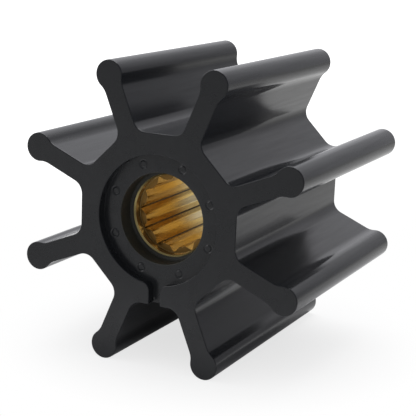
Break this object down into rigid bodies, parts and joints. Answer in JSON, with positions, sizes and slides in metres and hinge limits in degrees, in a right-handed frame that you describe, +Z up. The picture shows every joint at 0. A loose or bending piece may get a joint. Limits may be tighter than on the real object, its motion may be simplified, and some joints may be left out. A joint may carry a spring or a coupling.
{
  "type": "pump impeller",
  "caption": "Flexible rubber pump impeller: straight beaded blades on a hub that is moulded round a splined brass insert.",
  "frame": {"origin": "on the shaft axis, half way along the body", "axes": "+Y along the shaft axis, away from the end with the channel; +Z up, half way between two blades, so that the part lies on the two blades beside -Z"},
  "size_m": [0.0604, 0.0508, 0.0604],
  "materials": {
    "rubber": "satin moulded nitrile rubber, near black",
    "brass": "machined, dull"
  },
  "bodies": {
    "root": {"rubber_body": "rubber", "splined_insert": "brass"}
  },
  "joints": []
}
